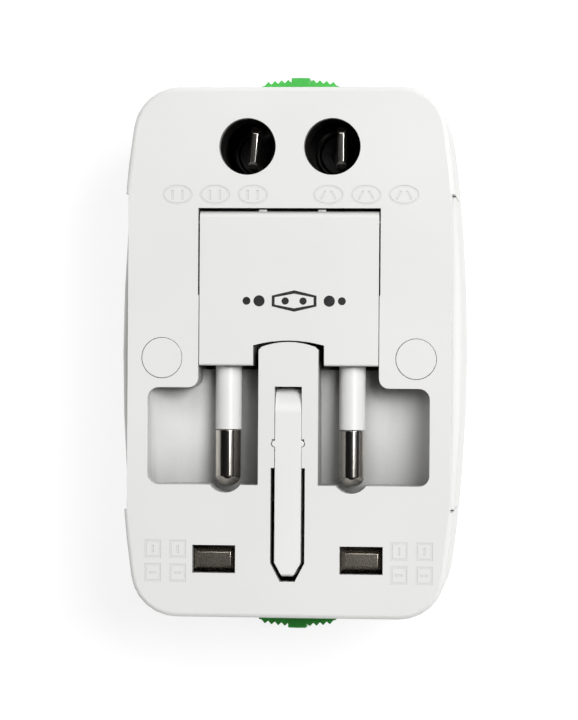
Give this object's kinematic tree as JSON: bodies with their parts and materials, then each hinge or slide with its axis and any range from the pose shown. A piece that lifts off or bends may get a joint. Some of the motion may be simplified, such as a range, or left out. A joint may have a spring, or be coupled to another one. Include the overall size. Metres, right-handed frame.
{
  "type": "universal travel adapter",
  "caption": "Pocket travel plug adapter: sliding flat blades and rectangular pins, a fold-out round-pin flap and a folding earth pin around a universal socket.",
  "frame": {"origin": "centre of the overall box at its lowest plane, which is the socket face the adapter lies on", "axes": "+X to the right of the plug face, +Y up the plug face towards the round blade wells, +Z out of the plug face"},
  "size_m": [0.052, 0.0864, 0.035],
  "materials": {
    "shell_white": "fine satin moulded plastic",
    "pin_white": "smooth moulded plastic",
    "knob_green": "smooth moulded plastic",
    "inner_black": "dull moulded plastic",
    "nickel": "polished nickel plate",
    "brass": "rolled strip",
    "spring_steel": "bright drawn steel"
  },
  "bodies": {
    "housing": {"rear_shell": "shell_white", "front_shell": "shell_white", "socket_plate": "shell_white", "blade_guide": "inner_black", "contact_frame": "inner_black", "live_contact": "brass", "neutral_contact": "brass", "us_detent_spring": "spring_steel", "uk_detent_spring": "spring_steel", "flap_hinge_rod": "spring_steel", "earth_hinge_rod": "spring_steel", "case_screw_left": "spring_steel", "case_screw_right": "spring_steel", "screw_cap_left": "shell_white", "screw_cap_right": "shell_white"},
    "us_carriage": {"us_slider": "inner_black", "us_knob": "knob_green"},
    "us_prong_left": {"us_rotor_left": "inner_black", "us_blade_left": "nickel", "rotor_clip_left": "spring_steel"},
    "us_prong_right": {"us_rotor_right": "inner_black", "us_blade_right": "nickel", "rotor_clip_right": "spring_steel"},
    "uk_carriage": {"uk_slider": "inner_black", "uk_knob": "knob_green", "uk_pin_left": "nickel", "uk_pin_right": "nickel"},
    "euro_flap": {"flap_front": "shell_white", "flap_back": "shell_white", "euro_pin_left": "nickel", "euro_pin_right": "nickel", "euro_sleeve_left": "pin_white", "euro_sleeve_right": "pin_white"},
    "earth_arm": {"earth_pin": "pin_white"}
  },
  "joints": [
    {"name": "us_slide", "type": "slide", "parent": "housing", "child": "us_carriage", "axis": [0, 0, 1], "range_m": [0, 0.0176]},
    {"name": "prong_turn_left", "type": "hinge", "parent": "us_carriage", "child": "us_prong_left", "pos_m": [-0.0064, 0.031, 0.012], "axis": [0, 0, 1], "range_deg": [-25, 5]},
    {"name": "prong_turn_right", "type": "hinge", "parent": "us_carriage", "child": "us_prong_right", "pos_m": [0.0064, 0.031, 0.012], "axis": [0, 0, 1], "range_deg": [0, 30]},
    {"name": "uk_slide", "type": "slide", "parent": "housing", "child": "uk_carriage", "axis": [0, 0, 1], "range_m": [0, 0.0187]},
    {"name": "flap_hinge", "type": "hinge", "parent": "housing", "child": "euro_flap", "pos_m": [0, 0.0195, 0.0332], "axis": [-1, 0, 0], "range_deg": [0, 90]},
    {"name": "earth_hinge", "type": "hinge", "parent": "housing", "child": "earth_arm", "pos_m": [0, -0.00925, 0.031], "axis": [-1, 0, 0], "range_deg": [0, 90]}
  ]
}
